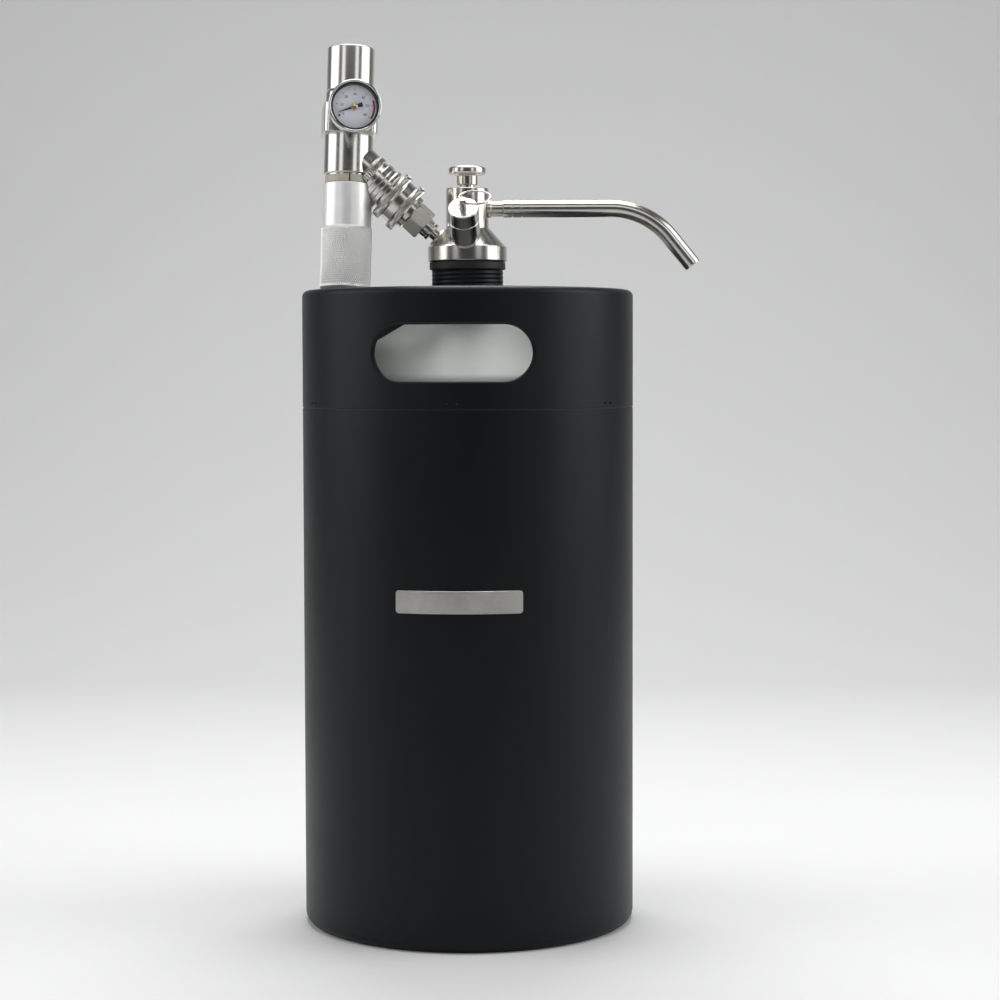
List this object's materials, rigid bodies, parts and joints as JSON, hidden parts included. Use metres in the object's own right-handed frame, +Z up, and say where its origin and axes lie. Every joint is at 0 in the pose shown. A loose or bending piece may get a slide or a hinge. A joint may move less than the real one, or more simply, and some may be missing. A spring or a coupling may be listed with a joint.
{
  "type": "mini beer keg",
  "caption": "Double-walled steel mini keg with a slotted handle collar, push-button tap head, swivel spout, relief valve and a gas regulator on a quick disconnect.",
  "frame": {"origin": "keg axis at the base plane", "axes": "+Z up along the keg's axis, +X towards the spout, -Y towards the front with the relief valve and the gauge"},
  "size_m": [0.2105, 0.1756, 0.4637],
  "materials": {
    "painted": "matte black powder coat",
    "bare_steel": "plain satin stainless",
    "polished_steel": "polished stainless",
    "badge_steel": "fine brushed stainless",
    "black_rubber": "soft black rubber",
    "nickel": "bright nickel plate",
    "grip_metal": "matte knurled aluminium",
    "spring_wire": "drawn spring wire",
    "beige_plastic": "moulded, matt",
    "dial_white": "printed dial",
    "window": "clear window",
    "needle_black": "painted pointer"
  },
  "bodies": {
    "keg": {"outer_shell": "painted", "base_plate": "painted", "inner_vessel": "bare_steel", "shoulder": "bare_steel", "neck": "painted", "neck_skirt": "black_rubber", "handle_collar": "painted", "badge_plate": "badge_steel"},
    "head_lift": {"tap_seal": "black_rubber"},
    "tap_head": {"tap_base": "polished_steel", "tap_body": "polished_steel", "dip_tube": "bare_steel", "spout_socket": "polished_steel", "relief_body": "nickel", "relief_cap": "nickel", "relief_spring": "spring_wire", "post_nipple": "polished_steel", "post_hex": "polished_steel", "post_plug": "polished_steel", "valve_spring": "spring_wire"},
    "button": {"valve_plunger": "polished_steel", "valve_washer": "black_rubber", "button_cap": "polished_steel"},
    "spout": {"spout_collar": "polished_steel", "spout_tube": "polished_steel"},
    "relief_valve": {"relief_stem": "nickel"},
    "pull_ring": {"pull_ring": "spring_wire"},
    "disconnect": {"disconnect_body": "nickel", "locking_balls": "spring_wire", "disconnect_seal": "black_rubber"},
    "release_sleeve": {"release_sleeve": "nickel"},
    "regulator": {"swivel_collar": "nickel", "regulator_outlet": "nickel", "regulator_body": "nickel", "pierce_pin": "polished_steel", "split_ring": "beige_plastic", "diaphragm": "black_rubber", "range_spring": "spring_wire", "gauge_stem": "nickel", "gauge_case": "nickel", "gauge_bezel": "nickel", "gauge_dial": "dial_white", "gauge_lens": "window"},
    "spring_plate": {"spring_plate": "polished_steel"},
    "pressure_knob": {"adjust_knob": "nickel"},
    "cartridge": {"gas_cartridge": "bare_steel"},
    "holder": {"cartridge_holder": "grip_metal"},
    "needle": {"gauge_needle": "needle_black"}
  },
  "joints": [
    {"name": "head_rise", "type": "slide", "parent": "keg", "child": "head_lift", "axis": [0, 0, 1], "range_m": [0, 0.00661]},
    {"name": "head_unscrew", "type": "hinge", "parent": "head_lift", "child": "tap_head", "pos_m": [0, 0, 0.354], "axis": [0, 0, 1], "range_deg": [0, 1080]},
    {"name": "button_press", "type": "slide", "parent": "tap_head", "child": "button", "axis": [0, 0, -1], "range_m": [0, 0.0015], "stiffness_N_per_m": 600, "springref_m": -0.006, "deforming": ["valve_spring"]},
    {"name": "spout_swivel", "type": "hinge", "parent": "tap_head", "child": "spout", "pos_m": [0.0188, 0, 0.3781], "axis": [1, 0, 0], "range_deg": [-90, 90]},
    {"name": "relief_pull", "type": "slide", "parent": "tap_head", "child": "relief_valve", "axis": [-0.0432, -0.7058, 0.7071], "range_m": [0, 0.002], "stiffness_N_per_m": 300, "springref_m": -0.01, "deforming": ["relief_spring"]},
    {"name": "ring_swing", "type": "hinge", "parent": "relief_valve", "child": "pull_ring", "pos_m": [-0.00199, -0.03247, 0.37983], "axis": [0.6428, -0.6732, -0.3655], "range_deg": [0, 180]},
    {"name": "disconnect_pull", "type": "slide", "parent": "tap_head", "child": "disconnect", "axis": [-0.7354, -0.0321, 0.6769], "range_m": [0, 0.024]},
    {"name": "sleeve_slide", "type": "slide", "parent": "disconnect", "child": "release_sleeve", "axis": [0.7354, 0.0321, -0.6769], "range_m": [0, 0.0022], "stiffness_N_per_m": 400, "springref_m": -0.008},
    {"name": "regulator_swivel", "type": "hinge", "parent": "disconnect", "child": "regulator", "pos_m": [-0.06251, -0.00273, 0.40603], "axis": [-0.7354, -0.0321, 0.6769], "range_deg": [-90, 90]},
    {"name": "knob_turn", "type": "hinge", "parent": "regulator", "child": "pressure_knob", "pos_m": [-0.06164, 0.00019, 0.4394], "axis": [-0.0261, -0.0871, -0.9959], "range_deg": [0, 900]},
    {"name": "plate_press", "type": "slide", "parent": "regulator", "child": "spring_plate", "axis": [-0.0261, -0.0871, -0.9959], "range_m": [0, 0.00251], "deforming": ["range_spring"]},
    {"name": "cartridge_drop", "type": "slide", "parent": "regulator", "child": "cartridge", "axis": [-0.0261, -0.0871, -0.9959], "range_m": [0, 0.00451]},
    {"name": "holder_unscrew", "type": "hinge", "parent": "cartridge", "child": "holder", "pos_m": [-0.06437, -0.00895, 0.33493], "axis": [-0.0261, -0.0871, -0.9959], "range_deg": [0, 1080]},
    {"name": "needle_sweep", "type": "hinge", "parent": "regulator", "child": "needle", "pos_m": [-0.05731, -0.03355, 0.42858], "axis": [-0.1418, 0.9864, -0.0826], "range_deg": [0, 230], "stiffness_Nm_per_rad": 0.00002, "springref_deg": -34.38}
  ],
  "couplings": [
    {"joint": "head_rise", "follows": "head_unscrew", "m_per_rad": 0.00035014},
    {"joint": "plate_press", "follows": "knob_turn", "m_per_rad": 0.00015915},
    {"joint": "cartridge_drop", "follows": "holder_unscrew", "m_per_rad": 0.00023873}
  ]
}
